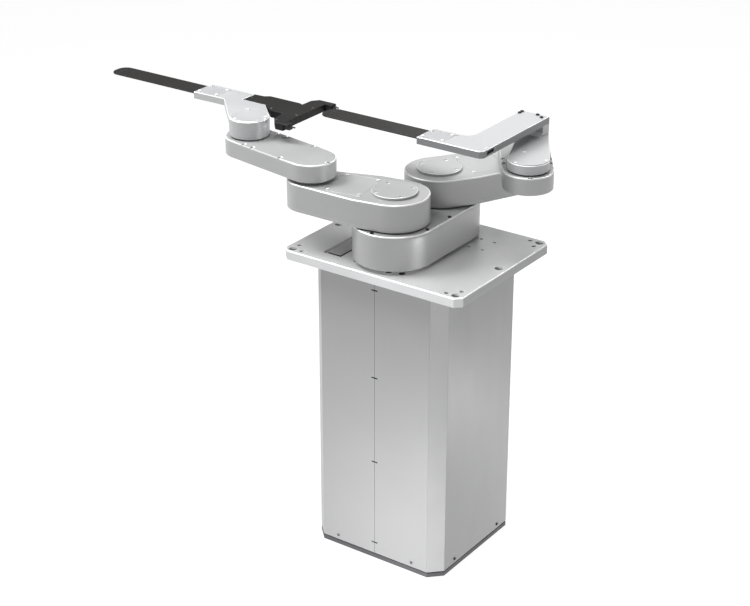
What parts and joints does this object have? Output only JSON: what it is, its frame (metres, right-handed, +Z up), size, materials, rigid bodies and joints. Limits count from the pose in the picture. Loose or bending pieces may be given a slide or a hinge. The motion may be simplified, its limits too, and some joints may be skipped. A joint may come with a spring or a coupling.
{
  "type": "dual-arm wafer-transfer robot",
  "caption": "Dual-arm SCARA wafer robot: square column with Z lift, turning base link and two mirrored belt-driven arms with thin black blades.",
  "frame": {"origin": "on the floor under the turning axis, at the centre of the foot", "axes": "+Z up along the lift and turning axes, hands reach towards -X, +Y from the left arm to the right arm"},
  "size_m": [1.2357, 0.5292, 1.068],
  "materials": {
    "panel": "satin silver-grey paint",
    "post": "satin anodised",
    "foot": "satin dark grey",
    "plate": "fine-blasted, clear anodised",
    "arm_casting": "bead-blasted, clear anodised",
    "hand_aluminium": "fine-blasted, bright",
    "clamp_plate": "satin, blue-grey",
    "blade": "carbon-filled, matte black",
    "pad": "soft matte",
    "mapper_black": "black anodised look, matte",
    "belt": "toothed belt",
    "seal": "lip seal",
    "motor": "satin black",
    "connector": "brushed",
    "dark_screws": "black oxide",
    "screws": "bright",
    "tube": "hard anodised",
    "steel_parts": "ground"
  },
  "bodies": {
    "base": {"base_plate": "foot", "backbone": "steel_parts", "corner_posts": "post", "front_cover_left": "panel", "front_cover_right": "panel", "side_covers": "panel", "rear_cover": "panel", "flange_plate": "plate", "connector_panel": "connector", "tube_seal": "seal", "guide_rails": "steel_parts", "z_motor": "motor", "base_screws": "dark_screws"},
    "screw": {"ball_screw": "steel_parts"},
    "lift": {"carriage": "steel_parts", "rail_blocks": "steel_parts", "ball_nut": "steel_parts", "lift_tube": "tube", "theta_motor": "motor"},
    "base_link": {"theta_shaft": "steel_parts", "base_link_housing": "arm_casting", "base_link_cover": "arm_casting", "shoulder_motors": "motor", "shoulder_pulleys": "steel_parts", "base_link_screws": "screws"},
    "left_upper_arm": {"left_arm_bottom_plate": "arm_casting", "left_upper_arm": "arm_casting", "left_shoulder_cap": "arm_casting", "left_access_cover": "arm_casting", "left_upper_belt": "belt", "left_upper_screws": "screws"},
    "left_forearm": {"left_forearm": "arm_casting", "left_forearm_cover": "arm_casting", "left_forearm_belt": "belt", "left_forearm_screws": "screws"},
    "left_hand": {"left_wrist_hub": "hand_aluminium", "left_bracket": "hand_aluminium", "left_clamp_cover": "clamp_plate", "left_blade": "blade", "left_pads": "pad", "mapper_arm": "mapper_black", "mapper_sensors": "mapper_black", "left_hand_screws": "screws"},
    "right_upper_arm": {"right_arm_bottom_plate": "arm_casting", "right_upper_arm": "arm_casting", "right_shoulder_cap": "arm_casting", "right_access_cover": "arm_casting", "right_upper_belt": "belt", "right_upper_screws": "screws"},
    "right_forearm": {"right_forearm": "arm_casting", "right_forearm_cover": "arm_casting", "right_forearm_belt": "belt", "right_forearm_screws": "screws"},
    "right_hand": {"right_wrist_hub": "hand_aluminium", "right_lower_plate": "hand_aluminium", "right_l_plate": "hand_aluminium", "right_clamp_cover": "clamp_plate", "right_blade": "blade", "right_pads": "pad", "right_hand_screws": "dark_screws"}
  },
  "joints": [
    {"name": "z_lift", "type": "slide", "parent": "base", "child": "lift", "axis": [0, 0, 1], "range_m": [0, 0.38]},
    {"name": "screw_turn", "type": "hinge", "parent": "base", "child": "screw", "pos_m": [0, 0.106, 0.4], "axis": [0, 0, 1], "range_deg": [0, 6840.5]},
    {"name": "theta_turn", "type": "hinge", "parent": "lift", "child": "base_link", "pos_m": [0, 0, 0.8], "axis": [0, 0, 1], "range_deg": [-170, 170]},
    {"name": "left_shoulder", "type": "hinge", "parent": "base_link", "child": "left_upper_arm", "pos_m": [0, -0.093, 0.88], "axis": [0, 0, 1], "range_deg": [-4.5, 115]},
    {"name": "left_elbow", "type": "hinge", "parent": "left_upper_arm", "child": "left_forearm", "pos_m": [-0.21205, -0.12848, 0.95], "axis": [0, 0, 1], "range_deg": [-230.5, 9.5]},
    {"name": "left_wrist", "type": "hinge", "parent": "left_forearm", "child": "left_hand", "pos_m": [-0.4241, -0.093, 1], "axis": [0, 0, 1], "range_deg": [-5, 115.5]},
    {"name": "right_shoulder", "type": "hinge", "parent": "base_link", "child": "right_upper_arm", "pos_m": [0, 0.093, 0.88], "axis": [0, 0, 1], "range_deg": [0, 119.5]},
    {"name": "right_elbow", "type": "hinge", "parent": "right_upper_arm", "child": "right_forearm", "pos_m": [0.12178, 0.27019, 0.95], "axis": [0, 0, 1], "range_deg": [-239.5, 0.5]},
    {"name": "right_wrist", "type": "hinge", "parent": "right_forearm", "child": "right_hand", "pos_m": [0.24355, 0.093, 1], "axis": [0, 0, 1], "range_deg": [-0.5, 120]}
  ],
  "couplings": [
    {"joint": "screw_turn", "follows": "z_lift", "rad_per_m": 314.16},
    {"joint": "left_elbow", "follows": "left_shoulder", "ratio": -2},
    {"joint": "left_wrist", "follows": "left_shoulder", "ratio": 1},
    {"joint": "right_elbow", "follows": "right_shoulder", "ratio": -2},
    {"joint": "right_wrist", "follows": "right_shoulder", "ratio": 1}
  ]
}
